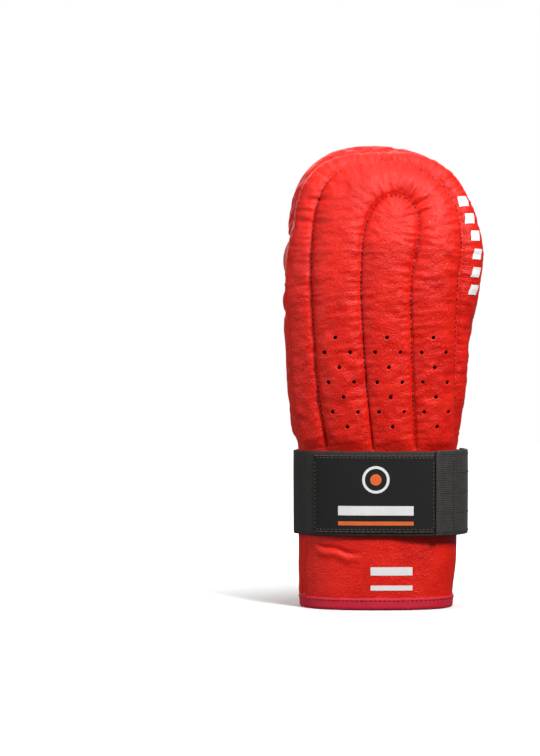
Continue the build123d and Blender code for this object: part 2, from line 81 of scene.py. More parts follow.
def at(table, z):
    """The table's columns at these heights, smoothly between its rows."""
    z = np.asarray(z, float)
    h = table[:, 0]
    gaps = np.diff(h)
    i = np.clip(np.searchsorted(h, z, side="right") - 1, 0, len(h) - 2)
    t = np.clip((z - h[i]) / gaps[i], 0, 1)
    g = gaps[i]
    out = []
    for col in table[:, 1:].T:
        steps = np.diff(col) / gaps
        a, b = steps[:-1], steps[1:]
        safe = np.where(a + b == 0, 1, a + b)
        tilt = np.concatenate([[steps[0]], np.where(a * b > 0, 2 * a * b / safe, 0), [steps[-1]]])
        out.append((2 * t**3 - 3 * t**2 + 1) * col[i] + (t**3 - 2 * t**2 + t) * g * tilt[i]
                   + (3 * t**2 - 2 * t**3) * col[i + 1] + (t**3 - t**2) * g * tilt[i + 1])
    return out


def oval(theta, z, table=OUTER, grow=0.0):
    """Points on the form. theta in degrees: 0 little-finger side, 90 palm, 180 thumb side, 270 back."""
    left, right, back, palm = at(table, z)
    c, s = np.cos(np.radians(theta)), np.sin(np.radians(theta))
    x, y = np.sign(c) * np.abs(c) ** 0.8, np.sign(s) * np.abs(s) ** 0.8
    centre = (back + palm) / 2 * ease((back + 4.5) / 5)  # above the knuckles the oval closes towards the palm
    depth = np.where(y > 0, palm - centre, centre - back) + grow
    return np.stack([(left + right) / 2 + ((right - left) / 2 + grow) * x, centre + depth * y, z + 0 * x], -1)


def seam_y(x):
    """The back panel meets the palm's panels on this upright plane."""
    return 2 + 0.105 * (x - 60)


# ---- mesh tools


def smooth_line(points, step=1.5, closed=False):
    """Points every step along a Catmull-Rom curve through these points."""
    p = np.asarray(points, float)
    ring = np.vstack([p[-1:], p, p[:2]]) if closed else np.vstack([2 * p[0] - p[1], p, 2 * p[-1] - p[-2]])
    t = np.linspace(0, 1, 24, endpoint=False)[:, None]
    parts = []
    for a, b, c, d in zip(ring, ring[1:], ring[2:], ring[3:]):
        parts.append(0.5 * (2 * b + (c - a) * t + (2 * a - 5 * b + 4 * c - d) * t**2
                            + (3 * b - a - 3 * c + d) * t**3))
    dense = np.vstack(parts + [ring[-2:-1]])
    run = np.concatenate([[0], np.cumsum(np.linalg.norm(np.diff(dense, axis=0), axis=1))])
    count = max(2, int(round(run[-1] / step)))
    return np.stack([np.interp(np.linspace(0, run[-1], count + 1), run, col) for col in dense.T], -1)


def near_line(p, line):
    """Each point's distance to a polyline and how far along it the nearest place is."""
    a, b = line[:-1], line[1:]
    ab = b - a
    length = np.linalg.norm(ab, axis=1)
    start = np.concatenate([[0], np.cumsum(length)[:-1]])
    best, along = np.empty(len(p)), np.empty(len(p))
    for k in range(0, len(p), 8000):
        q = p[k : k + 8000, None, :] - a[None]
        t = np.clip((q * ab).sum(-1) / np.maximum(length**2, 1e-9), 0, 1)
        d = np.linalg.norm(q - t[..., None] * ab, axis=-1)
        j = d.argmin(1)
        rows = np.arange(len(j))
        best[k : k + 8000] = d[rows, j]
        along[k : k + 8000] = start[j] + t[rows, j] * length[j]
    return best, along


def inside(p, loop):
    """Which points are inside a closed polygon."""
    hit = np.zeros(len(p), bool)
    for (x0, y0), (x1, y1) in zip(loop, np.roll(loop, -1, axis=0)):
        cross = (y0 > p[:, 1]) != (y1 > p[:, 1])
        with np.errstate(divide="ignore", invalid="ignore"):
            hit ^= cross & (p[:, 0] < (x1 - x0) * (p[:, 1] - y0) / (y1 - y0) + x0)
    return hit


def grid_tris(rows, cols, wrap=False):
    r, c = np.meshgrid(np.arange(rows - 1), np.arange(cols if wrap else cols - 1), indexing="ij")
    n = (c + 1) % cols
    a, b, d, e = r * cols + c, r * cols + n, (r + 1) * cols + n, (r + 1) * cols + c
    tris = np.stack([np.stack([a, b, d], -1), np.stack([a, d, e], -1)], 2)
    return tris.reshape(-1, 3)


def clip(v, t, f):
    """Keeps the part of a triangle mesh where f is positive, cutting triangles along f = 0."""
    keep = f > 0
    count = keep[t].sum(1)
    out = [t[count == 3]]
    verts, base = [v], len(v)
    for kept in (1, 2):
        cut = t[count == kept]
        odd = keep[cut] == (kept == 1)
        k = odd.argmax(1)
        rows = np.arange(len(cut))
        a, b, c = cut[rows, k], cut[rows, (k + 1) % 3], cut[rows, (k + 2) % 3]
        new = []
        for p, q in ((a, b), (a, c)):
            share = (f[p] / (f[p] - f[q]))[:, None]
            verts.append(v[p] + (v[q] - v[p]) * share)
            new.append(base + rows)
            base += len(cut)
        ab, ac = new
        if kept == 1:
            out.append(np.stack([a, ab, ac], -1))
        else:
            out += [np.stack([b, c, ac], -1), np.stack([b, ac, ab], -1)]
    v, t = np.vstack(verts), np.vstack(out)
    return weld(v, t)


def weld(v, t, tol=0.02):
    """Joins points that coincide and drops triangles that vanish and points left unused."""
    _, first, index = np.unique(np.round(v / tol).astype(np.int64), axis=0, return_index=True, return_inverse=True)
    v, t = v[first], index.reshape(-1)[t]
    t = t[(t[:, 0] != t[:, 1]) & (t[:, 1] != t[:, 2]) & (t[:, 0] != t[:, 2])]
    used, index = np.unique(t, return_inverse=True)
    return v[used], index.reshape(-1, 3)


def normals(v, t):
    n = np.cross(v[t[:, 1]] - v[t[:, 0]], v[t[:, 2]] - v[t[:, 0]])
    out = np.zeros_like(v)
    for k in range(3):
        np.add.at(out, t[:, k], n)
    return out / np.maximum(np.linalg.norm(out, axis=1), 1e-9)[:, None]


def noise_at(points):
    """Smooth noise from -1 to 1, which changes over about one unit."""
    return np.array([noise.noise(Vector(p)) for p in points])


def bumps(v, scale, seed=0.0):
    """The same noise at points in mm; scale in mm."""
    return noise_at(v / scale + seed)


def ease(x):
    x = np.clip(x, 0, 1)
    return x * x * (3 - 2 * x)


pieces = {}


def put(name, v, t, mat, body, slot, replaces=()):
    """Makes a mesh object from millimetres and says what it rides on and stands for. A blended piece has no body."""
    mesh = bpy.data.meshes.new(name)
    faces = t.tolist() if isinstance(t, np.ndarray) else t
    mesh.from_pydata((np.asarray(v) * MM).tolist(), [], faces)
    mesh.validate()
    mesh.polygons.foreach_set("use_smooth", [True] * len(mesh.polygons))
    mesh.update()
    obj = bpy.data.objects.new(name, mesh)
    bpy.context.scene.collection.objects.link(obj)
    mesh.materials.append(mat)
    if body:
        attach(obj, body)
    if replaces:
        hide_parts(*replaces)
    pieces[name] = obj
    return obj


# ---- materials


class Look:
    """A node material being made. Its place is the object's own coordinates in millimetres."""

    def __init__(self, name):
        self.material = bpy.data.materials.new(name)
        self.material.use_nodes = True
        self.tree = self.material.node_tree
        self.normal = None
        own = self.node("ShaderNodeTexCoord").outputs["Object"]
        self.place = self.node("ShaderNodeMapping", {"Vector": own, "Scale": (1 / MM,) * 3}).outputs["Vector"]

    def feed(self, node, key, value):
        """Links another node's output to an input, or sets a constant there."""
        if isinstance(value, bpy.types.NodeSocket):
            self.tree.links.new(value, node.inputs[key])
        else:
            node.inputs[key].default_value = value

    def node(self, kind, inputs=(), **settings):
        node = self.tree.nodes.new(kind)
        for key, value in settings.items():
            setattr(node, key, value)
        for key, value in dict(inputs).items():
            self.feed(node, key, value)
        return node

    def surface(self, **values):
        for key, value in values.items():
            self.feed(self.tree.nodes["Principled BSDF"], key.replace("_", " "), value)

    def math(self, operation, *terms):
        return self.node("ShaderNodeMath", enumerate(terms), operation=operation).outputs[0]

    def wave(self, run, period):
        return self.math("SINE", self.math("MULTIPLY", run, 2 * math.pi / period))

    def noise(self, scale, detail=3.0, rough=0.5):
        inputs = {"Vector": self.place, "Scale": scale, "Detail": detail, "Roughness": rough}
        return self.node("ShaderNodeTexNoise", inputs).outputs["Fac"]

    def split(self):
        return self.node("ShaderNodeSeparateXYZ", {0: self.place}).outputs

    def ramp(self, source, *stops):
        """A colour, or a grey where the stop is one number, for each value of the source."""
        ramp = self.node("ShaderNodeValToRGB", {"Fac": source})
        stops = [(spot, (*(colour if isinstance(colour, tuple) else (colour,) * 3), 1)) for spot, colour in stops]
        for element, (spot, colour) in zip(ramp.color_ramp.elements, (stops[0], stops[-1])):
            element.position, element.color = spot, colour
        for spot, colour in stops[1:-1]:
            ramp.color_ramp.elements.new(spot).color = colour
        return ramp.outputs["Color"]

    def relief(self, height, strength, distance):
        """Adds a bump, distance in metres, over the bumps so far."""
        under = {"Normal": self.normal} if self.normal else {}
        bump = self.node("ShaderNodeBump", {"Height": height, "Strength": strength, "Distance": distance, **under})
        self.normal = bump.outputs["Normal"]
        self.surface(Normal=self.normal)


def leather(name, dark, mid, light):
    """Pebbled hide: two sizes of grain, fine creases, and gloss that varies with them."""
    look = Look(name)
    wander = look.node("ShaderNodeTexNoise", {"Vector": look.place, "Scale": 0.5}).outputs["Color"]
    bent = look.node("ShaderNodeVectorMath", {0: wander, 1: (1.4,) * 3, 2: look.place}, operation="MULTIPLY_ADD")
    cells = look.node("ShaderNodeTexVoronoi", {"Vector": bent.outputs[0], "Scale": 0.8}, feature="DISTANCE_TO_EDGE")
    look.relief(look.noise(0.22, 4, 0.6), 0.35, 0.0012)
    look.relief(look.ramp(cells.outputs["Distance"], (0.0, 0), (0.3, 1)), 0.42, 0.0003)
    look.relief(look.noise(0.6, 6, 0.65), 0.6, 0.0007)
    look.surface(Base_Color=look.ramp(look.noise(0.05, 6, 0.62), (0.3, dark), (0.52, mid), (0.72, light)),
                 Roughness=look.ramp(look.noise(0.12, 5, 0.6), (0.25, 0.34), (0.75, 0.5)), Specular_IOR_Level=0.34)
    return look.material


def webbing(name, dark, light, rib_axis, rib_mm, rough):
    """Woven tape: ribs across one axis, crossed by finer yarns."""
    look = Look(name)
    x, y, z = look.split()
    around = look.math("MULTIPLY", look.math("ARCTAN2", y, x), 42.0)
    run, across = (around, z) if rib_axis == "round" else (z, around)
    both = look.math("MULTIPLY_ADD", look.wave(across, rib_mm * 0.6), 0.35, look.wave(run, rib_mm))
    level = look.math("MULTIPLY_ADD", both, 0.37, 0.5)
    mixed = look.math("MULTIPLY_ADD", look.noise(0.25, 5, 0.65), 0.6, look.math("MULTIPLY", level, 0.55))
    look.relief(level, 0.5, 0.0003)
    look.relief(look.noise(1.4), 0.3, 0.0002)
    look.surface(Base_Color=look.ramp(mixed, (0.3, dark), (0.85, light)), Roughness=rough, Sheen_Weight=0.08,
                 Sheen_Roughness=0.4)
    return look.material


def cloth(name, dark, light, weave_mm=0.4, rough=0.6, sheen=0.1, relief_mm=0.1):
    """Plain weave or knit of crossed yarns."""
    look = Look(name)
    x, y, z = look.split()
    weave = look.math("MULTIPLY", look.wave(look.math("ADD", x, y), weave_mm), look.wave(z, weave_mm))
    level = look.math("MULTIPLY_ADD", weave, 0.5, 0.5)
    mixed = look.math("MULTIPLY_ADD", level, 0.45, look.math("MULTIPLY", look.noise(0.1, 4, 0.6), 0.6))
    look.relief(level, 0.5, relief_mm * MM)
    look.surface(Base_Color=look.ramp(mixed, (0.2, dark), (0.8, light)), Roughness=rough, Sheen_Weight=sheen)
    return look.material


def spacer_mesh(name):
    """Knitted spacer mesh: staggered round holes in grey yarn over a black ground."""
    look = Look(name)
    x, y, z = look.split()
    pitch, rise = 2.7, 4.7
    # Round the sides, y takes over from x so that the holes keep their shape.
    across = look.math("SUBTRACT", x, look.math("MULTIPLY", y, 0.75))
    reach = []
    for shift in (0.0, 0.5):
        offs = []
        for run, size in ((across, pitch), (z, rise)):
            cell = look.math("FRACT", look.math("ADD", look.math("DIVIDE", run, size), shift))
            offs.append(look.math("MULTIPLY", look.math("SUBTRACT", cell, 0.5), size))
        square = look.math("MULTIPLY", offs[1], offs[1])
        reach.append(look.math("SQRT", look.math("MULTIPLY_ADD", offs[0], offs[0], square)))
    uneven = look.math("SUBTRACT", look.noise(0.9), 0.5)
    d = look.math("MULTIPLY_ADD", uneven, 0.5, look.math("MINIMUM", *reach))
    look.relief(look.ramp(d, (0.45, 0), (1.0, 0.85), (1.35, 1)), 1.0, 0.0009)
    look.relief(look.noise(3.0), 0.35, 0.0002)
    yarn = look.ramp(d, (0.55, (0.004, 0.004, 0.004)), (0.85, (0.03, 0.03, 0.029)), (1.3, (0.075, 0.075, 0.07)))
    look.surface(Base_Color=yarn, Roughness=0.72, Sheen_Weight=0.2)
    return look.material


RED = leather("red_leather", (0.66, 0.006, 0.001), (0.82, 0.010, 0.002), (0.93, 0.020, 0.005))
TAPE = cloth("crimson_tape", (0.58, 0.002, 0.022), (0.84, 0.006, 0.045), 0.5, 0.6, 0.02, 0.2)
ELASTIC = webbing("black_elastic", (0.011, 0.0105, 0.0095), (0.034, 0.032, 0.029), "round", 1.3, 0.75)
GREY_TAB = webbing("grey_webbing", (0.014, 0.013, 0.012), (0.05, 0.047, 0.044), "up", 1.1, 0.7)
LABEL = cloth("woven_label", (0.0015, 0.0015, 0.002), (0.006, 0.006, 0.0075), 0.45, 0.85, 0.0, 0.08)
LINING = cloth("lining_cloth", (0.006, 0.006, 0.007), (0.02, 0.02, 0.022), 0.7, 0.9, 0.3, 0.2)
LOOP = cloth("loop_pile", (0.008, 0.008, 0.008), (0.035, 0.035, 0.035), 0.9, 0.95, 0.6, 0.5)
HOOK = cloth("hook_pile", (0.008, 0.008, 0.008), (0.04, 0.04, 0.04), 1.2, 0.6, 0.1, 0.6)
MESH = spacer_mesh("spacer_mesh")
THREAD = cloth("dark_thread", (0.03, 0.001, 0.003), (0.08, 0.003, 0.006))
RED_THREAD = cloth("red_thread", (0.12, 0.001, 0.006), (0.24, 0.003, 0.012))
BLACK_THREAD = cloth("black_thread", (0.008, 0.008, 0.008), (0.03, 0.03, 0.03), sheen=0.3)
GREY_THREAD = cloth("grey_thread", (0.004, 0.004, 0.004), (0.012, 0.012, 0.012))
LABEL_THREAD = cloth("label_thread", (0.03, 0.03, 0.03), (0.07, 0.07, 0.07))
EDGE_THREAD = cloth("edge_thread", (0.09, 0.05, 0.035), (0.22, 0.11, 0.07), 0.9)
WHITE = cloth("white_print", (0.8, 0.8, 0.8), (0.98, 0.97, 0.96), 0.5, 0.6, 0.05, 0.08)
ORANGE = cloth("orange_print", (0.7, 0.11, 0.015), (0.95, 0.18, 0.03), 0.5, 0.6, 0.05, 0.08)

# ---- seams, as the CAD's, x and z

OUTER_QUILT = smooth_line([
    (-29.5, 90), (-32.6, 108), (-36.1, 128), (-39.1, 165), (-40.8, 205.5), (-39.1, 234), (-33.5, 254),
    (-22.6, 265.5), (-5.4, 271), (11.9, 270), (28.2, 264.2), (41.2, 252.2), (48.1, 235.8), (49, 215),
    (46.4, 191), (45.5, 148), (45.8, 125), (46.6, 90),
])  # fmt: skip
INNER_QUILT = smooth_line([
    (-3.3, 90), (-6.3, 117.7), (-8.9, 143.6), (-11, 178), (-11.4, 200), (-9.3, 227), (-2, 243.5), (8.5, 249),
    (18.5, 245), (23, 235), (22.6, 222), (19.2, 202), (18, 187), (18.8, 156.5), (20, 122), (21.7, 90),
])  # fmt: skip
FOLD_EDGE = smooth_line([
    (-53.4, 228), (-54.8, 205), (-54.6, 182), (-52.5, 156), (-50.2, 135), (-47.4, 115), (-44.6, 97), (-45, 60),
    (-45.1, 40), (-45.2, 9),
])  # fmt: skip
ROLL_TOP, ROLL_BOTTOM, SLOPE = 218.5, 192.5, -0.135
ROLL_SEAM = 196.5
MESH_BORDER = smooth_line([
    (-90, 199), (-58.7, 194), (-42.6, 180), (-33, 164), (-29, 151), (-23, 141), (-11, 135.5), (13, 132.5),
    (43, 130.5), (90, 128.5),
])  # fmt: skip
GUSSET_BORDER = np.array([(-90, 203), (-58.7, 181), (-49, 171), (-38, 157), (-33, 150), (0, 110)], float)
SIDE_SEAM_X = -33.0
SLIT_X, SLIT_TOP, SLIT_HALF, FLARE_TOP, FLARE_R = 5.5, 112.0, 1.0, 25.0, 26.0


def slit_loop(margin):
    """The slit's outline, larger by this margin, as a closed polygon."""
    half, r, corner = SLIT_HALF + margin, FLARE_R - margin, SLIT_HALF + FLARE_R
    turn = np.radians(np.linspace(90, 0, 24))
    right = [(SLIT_X + corner - r * math.sin(a), FLARE_TOP - r * math.cos(a)) for a in turn[::-1]]
    top = [(SLIT_X + half * math.cos(a), SLIT_TOP + half * math.sin(a)) for a in np.linspace(0, math.pi, 13)]
    left = [(2 * SLIT_X - x, z) for x, z in right[::-1]]
    return np.array([(SLIT_X + corner, -40), *right, *top, *left, (SLIT_X - corner, -40)])


def vent_places():
    """Rows of one and two in turn, down the middle of three channels."""
    places = []
    for upper, lower in ((-27.0, -19.6), (3.7, 7.4), (31.8, 34.4)):
        for row in range(7):
            x = upper + (lower - upper) * row / 6
            z = 163.5 - 8.9 * row
            places += [(x - 7.6, z), (x + 7.6, z)] if row % 2 else [(x, z)]
    return places


# ---- base grids of the back and the palm


def heights(low, step):
    """Heights whose spacing along the surface is even, up to the fingertips."""
    z = np.linspace(low, 280, 4000)
    left, right, back, palm = at(OUTER, z)
    slant = np.hypot(np.diff(z), np.hypot(np.diff(right - left) / 2, np.diff(palm - back) / 2) * 0.8)
    run = np.concatenate([[0], np.cumsum(slant)])
    return np.interp(np.linspace(0, run[-1], int(run[-1] / step)), run, z)


def even_columns(z, start, end, cols):
    """A grid of points between two angles at each height, evenly spaced round the oval."""
    rows = []
    for h, a, b in zip(z, start, end):
        th = np.linspace(a, b, 400)
        p = oval(th, np.full(400, h))
        run = np.concatenate([[0], np.cumsum(np.linalg.norm(np.diff(p, axis=0), axis=1))])
        rows.append(oval(np.interp(np.linspace(0, run[-1], cols), run, th), np.full(cols, h)))
    return np.vstack(rows)


STEP = 1.05
COLS = 306
levels = heights(0.9, STEP)
full_v = even_columns(levels, np.full(len(levels), 180.0), np.full(len(levels), 540.0), COLS + 1)
full_v = full_v.reshape(len(levels), COLS + 1, 3)[:, :COLS].reshape(-1, 3)
full_t = grid_tris(len(levels), COLS, wrap=True)
fan = (len(levels) - 1) * COLS
full_t = np.vstack([full_t, [(fan + k, fan + (k + 1) % COLS, len(full_v)) for k in range(COLS)]])
full_v = np.vstack([full_v, full_v[-COLS:].mean(0) + (0, 0, 0.35)])
past_seam = full_v[:, 1] - seam_y(full_v[:, 0])
back_v, back_t = weld(*clip(full_v, full_t, -past_seam))
palm_v, palm_t = weld(*clip(full_v, full_t, past_seam))


def outward(v, t):
    """The mesh with its normals facing away from the hand."""
    n = normals(v, t)
    centre = np.stack([0 * v[:, 0], 0 * v[:, 0], np.minimum(v[:, 2], 220)], -1)
    if ((v - centre) * n).sum() < 0:
        t = t[:, ::-1]
        n = -n
    return t, n


def seam_distance(v):
    """How far each point of the hand's surface is from the seam between back and palm, roughly."""
    return np.abs(v[:, 1] - seam_y(v[:, 0]))


# ---- cloth


def billow(v, t, held, cap=1.3, share=0.12):
    """How far each point of a stitched sheet moves when a coarse copy of it swells as cloth, held where this says."""
    mesh = bpy.data.meshes.new("swelling")
    mesh.from_pydata((v * MM).tolist(), [], t.tolist())
    obj = bpy.data.objects.new("swelling", mesh)
    bpy.context.scene.collection.objects.link(obj)
    coarse = obj.modifiers.new("coarse", "DECIMATE")
    coarse.ratio = share
    mesh = bpy.data.meshes.new_from_object(obj.evaluated_get(bpy.context.evaluated_depsgraph_get()))
    obj.modifiers.clear()
    obj.data = mesh
    rest = np.empty(len(mesh.vertices) * 3)
    mesh.vertices.foreach_get("co", rest)
    rest = rest.reshape(-1, 3)
    pins = obj.vertex_groups.new(name="held")
    pins.add([int(k) for k in np.where(held(rest / MM))[0]], 1.0, "REPLACE")
    cloth_mod = obj.modifiers.new("cloth", "CLOTH")
    c = cloth_mod.settings
    c.quality, c.mass, c.vertex_group_mass = 6, 0.2, "held"
    c.tension_stiffness = c.compression_stiffness = 25
    c.shear_stiffness, c.bending_stiffness = 8, 0.4
    c.shrink_min = -0.03
    c.use_pressure, c.uniform_pressure_force = True, 4.0
    c.effector_weights.gravity = 0
    cloth_mod.point_cache.frame_start, cloth_mod.point_cache.frame_end = 1, 20
    for frame_no in range(1, 21):
        bpy.context.scene.frame_set(frame_no)
    swollen = obj.evaluated_get(bpy.context.evaluated_depsgraph_get()).data
    now = np.empty(len(swollen.vertices) * 3)
    swollen.vertices.foreach_get("co", now)
    shift = (now.reshape(-1, 3) - rest) / MM
    bpy.data.objects.remove(obj)
    bpy.context.scene.frame_set(1)
    far = np.linalg.norm(shift, axis=1, keepdims=True)
    shift *= np.minimum(1, cap / np.maximum(far, 1e-6))
    tree = KDTree(len(rest))
    for k, place in enumerate(rest / MM):
        tree.insert(place, k)
    tree.balance()
    out = np.zeros_like(v)
    for k, place in enumerate(v):
        near = tree.find_n(place, 4)
        w = np.array([1 / (0.3 + d) ** 2 for _, _, d in near])
        out[k] = (w[:, None] * shift[[i for _, i, _ in near]]).sum(0) / w.sum()
    return out


# ---- back of the hand


def quilted(v, n):
    """How far each point of the back stands out: pillows between the stitched lines, gathered leather beside them."""
    xz = v[:, [0, 2]]
    d_out, s_out = near_line(xz, OUTER_QUILT)
    d_in, s_in = near_line(xz, INNER_QUILT)
    facing = ease(-n[:, 1] * 1.35)
    d = np.minimum(d_out, d_in)
    s = np.where(d_out < d_in, s_out, s_in + 500)
    reach = 13.0
    pillow = np.sqrt(np.clip(1 - (1 - np.clip(d / reach, 0, 1)) ** 2, 0, 1))
    height = 4.4 * pillow * (0.25 + 0.75 * facing)
    seam = seam_distance(v)
    height *= 1 - 0.75 * np.exp(-((seam / 6.0) ** 2))
    crease = np.exp(-((d / 1.3) ** 2))
    height -= 0.95 * crease
    # gathers that run away from each stitched line
    gather = np.stack([s / 2.9, d / 18.0, np.where(d_out < d_in, 0.0, 9.0)], -1)
    folds = noise_at(gather)
    fine = noise_at(gather * (1.9, 1.7, 1) + (0, 0, 4))
    tight = 0.55 + 0.75 * ease((v[:, 2] - 175) / 60) + 0.5 * (d_in < d_out) * ease((v[:, 2] - 200) / 30)
    near = np.exp(-d / 8.5) * ease(d / 1.4)
    height += tight * near * (0.7 * folds + 0.85 * fine)
    # creases across the fingers
    across = np.stack([v[:, 0] / 30, v[:, 2] / 2.6 - v[:, 0] / 22, np.full(len(v), 6.0)], -1)
    lines = noise_at(across)
    here = ease((bumps(v * (1, 1, 1.4), 24.0, 11.0) + 0.35) * 1.6)
    height += 0.34 * lines * here * facing * ease((v[:, 2] - 120) / 40)
    fold = v[:, 2] - (248.0 - 0.12 * (v[:, 0] + 50) + 0.8 * np.sin(v[:, 0] / 3.0))
    height -= 0.9 * np.exp(-((fold / 0.8) ** 2)) * ease((-22 - v[:, 0]) / 12)
    height += 0.34 * bumps(v, 15.0) + 0.2 * bumps(v, 5.5, 3.0) * (0.4 + facing)
    height *= 0.15 + 0.85 * ease((v[:, 2] - 88) / 16)
    # under the strap the cuff's leather folds over on itself, and the thumb side's edge is turned in
    fold = v[:, 2] - (38.5 - 0.22 * (v[:, 0] + 36) + 0.5 * np.sin(v[:, 0] / 2.4))
    reach = ease((v[:, 0] + 39) / 6) * ease((-8 - v[:, 0]) / 14)
    height += reach * (0.9 * np.exp(-(((fold + 3.2) / 2.4) ** 2)) - 1.2 * np.exp(-((fold / 1.1) ** 2)))
    edge, _ = near_line(xz, FOLD_EDGE)
    side = ease((-38 - v[:, 0]) / 4) * ease(-n[:, 1] * 6)
    height += side * (0.5 * np.exp(-(((edge - 2.2) / 1.6) ** 2)) - 1.5 * np.exp(-((edge / 0.8) ** 2)))
    return height - 0.9 * np.exp(-((seam / 1.5) ** 2))


back_t, back_n = outward(back_v, back_t)
back_v = back_v + back_n * quilted(back_v, back_n)[:, None]
back_v, back_t = clip(back_v, back_t, back_v[:, 2] - HEM)


def back_held(v):
    near = np.minimum(near_line(v[:, [0, 2]], OUTER_QUILT)[0], near_line(v[:, [0, 2]], INNER_QUILT)[0])
    return (near < 2.0) | (seam_distance(v) < 2.5) | (v[:, 2] < 100)


back_v = back_v + 0.6 * billow(back_v, back_t, back_held, 0.7)
vents = np.array(vent_places())
off_vents = np.min(np.hypot(back_v[:, None, 0] - vents[:, 0], back_v[:, None, 2] - vents[:, 1]), axis=1) - 1.2
back_v, back_t = clip(back_v, back_t, off_vents)


def solid_sheet(v, t, thickness):
    """A closed slab: the sheet, its inner face and the strip round its edges."""
    n = normals(v, t)
    edges = np.vstack([t[:, [0, 1]], t[:, [1, 2]], t[:, [2, 0]]])
    _, index, count = np.unique(np.sort(edges, axis=1), axis=0, return_index=True, return_counts=True)
    a, b = edges[index[count == 1]].T
    k = len(v)
    wall = np.vstack([np.stack([b, a, a + k], -1), np.stack([b, a + k, b + k], -1)])
    return np.vstack([v, v - n * thickness]), np.vstack([t, t[:, ::-1] + k, wall])


v, t = solid_sheet(back_v, back_t, BACK_LEATHER)
back_panel = put("back_panel", v, t, RED, "mitt", "red_leather",
                 ["back_leather", "centre_channel_foam", "arch_channel_foam", "rim_foam", "cuff_foam", "base_foam"])

# ---- palm panels

palm_t, _ = outward(palm_v, palm_t)


def hem_and_slit(v):
    """Positive outside the slit, on the palm."""
    loop = slit_loop(0.4)
    xz = v[:, [0, 2]]
    d, _ = near_line(xz, np.vstack([loop, loop[:1]]))
    return np.where(inside(xz, loop) & (v[:, 1] > 5), -d, d)


def panel(fields, displace, edge=1.5, tuck=1.1):
    """A panel of the palm, cut where the fields are positive, tucked in at its edges, and displaced."""
    v, t = palm_v, palm_t
    for field in fields:
        v, t = clip(v, t, field(v))
    n = normals(v, t)
    d = np.full(len(v), 99.0)
    for field in fields:
        d = np.minimum(d, np.abs(field(v)))
    d = np.minimum(d, seam_distance(v))
    h = displace(v, n, d) - tuck * np.exp(-((d / edge) ** 2))
    return v + n * h[:, None], t


def flip(field):
    return lambda v: -field(v)


def above(height):
    return lambda v: (v[:, 2] - (height + SLOPE * v[:, 0])) * 0.99


def over(border):
    """Positive over this border; the share makes it nearly a distance."""
    return lambda v: (v[:, 2] - np.interp(v[:, 0], border[:, 0], border[:, 1])) * 0.8


def leather_part(name, v, t, nodes, fill=0.5, mat=RED, slot="red_leather"):
    """A sewn panel of the mitt that stands for these nodes."""
    piece = put(name, *solid_sheet(v, t, LEATHER), mat, "mitt", slot, nodes)


def soft(v, n, d):
    """Gentle fullness and creases of soft leather."""
    return 0.9 * ease(d / 9) + 0.35 * bumps(v, 15.0, 1.0) + 0.18 * bumps(v, 5.5, 7.0)


def tip_shape(v, n, d):
    return 1.6 * ease(d / 12) + 0.4 * bumps(v, 19.0, 2.0) + 0.16 * bumps(v, 6.0, 5.0)


v, t = panel([above(ROLL_TOP)], tip_shape)
v = v + billow(v, t, lambda p: (seam_distance(p) < 2.5) | (above(ROLL_TOP)(p) < 2.0), 1.0)
leather_part("fingertip_panel", v, t, ["fingertip_leather", "fingertip_foam"], 0.8)


def roll_shape(v, n, d):
    """The bar swells between its two seams, with gathers where it meets them, and thins towards its ends."""
    across = (v[:, 2] - (ROLL_SEAM + SLOPE * v[:, 0])) / (ROLL_TOP - ROLL_SEAM)
    bulge = np.sqrt(np.clip(1 - (2 * np.clip(across, 0, 1) - 1) ** 2, 0, 1)) ** 1.1
    ends = ease(seam_distance(v) / 20) * ease(n[:, 1] * 1.3)
    edge = np.minimum(np.abs(across), np.abs(1 - across)) * (ROLL_TOP - ROLL_SEAM)
    gather = noise_at(np.stack([v[:, 0] / 4.5, edge / 14, 3 + 0 * edge], -1))
    return bulge * ends * 7.6 + np.exp(-edge / 6) * 0.55 * gather * ends + 0.35 * bumps(v, 14.0, 8.0) * bulge


v, t = panel([flip(above(ROLL_TOP)), above(ROLL_BOTTOM)], roll_shape)
leather_part("grip_roll", v, t, ["grip_roll_leather", "grip_bar_foam"], 0.9)


def flat_shape(v, n, d):
    return 0.5 * ease(d / 6) - 0.5 + 0.3 * bumps(v, 20.0, 4.0)


def thumb_side(v):
    return SIDE_SEAM_X - v[:, 0]


over_mesh, over_gusset = over(MESH_BORDER), over(GUSSET_BORDER)
v, t = panel([flip(above(ROLL_BOTTOM)), over_mesh], flat_shape)
leather_part("palm_mesh_panel", v, t, ["palm_mesh", "palm_padding"], 0.5, MESH, "spacer_mesh")
for name, fields, node in (
    ("palm_panel", [flip(over_mesh), flip(thumb_side), hem_and_slit, lambda v: v[:, 2] - HEM], "palm_leather"),
    ("gusset_panel", [flip(over_mesh), thumb_side, over_gusset], "thumb_gusset"),
    ("side_panel", [thumb_side, flip(over_gusset), lambda v: v[:, 2] - HEM], "thumb_side_leather"),
):
    leather_part(name, *panel(fields, soft), [node])

# ---- binding of the hem and the slit

ref = oval(np.linspace(-270, 90, 2881), np.full(2881, 50.0))
ref_run = np.concatenate([[0], np.cumsum(np.linalg.norm(np.diff(ref, axis=0), axis=1))])
ROUND = ref_run[-1]
on_palm_side = np.where(ref[:, 1] > 20, np.abs(ref[:, 0] - SLIT_X), 999.0)
slit_at = ref_run[np.argmin(on_palm_side)]


def unroll(a, z, table=OUTER, grow=0.0):
    """A point on the cuff this far round from the slit (towards the little finger) and up."""
    return oval(np.interp((slit_at - np.asarray(a)) % ROUND, ref_run, np.linspace(-270, 90, 2881)), z, table, grow)


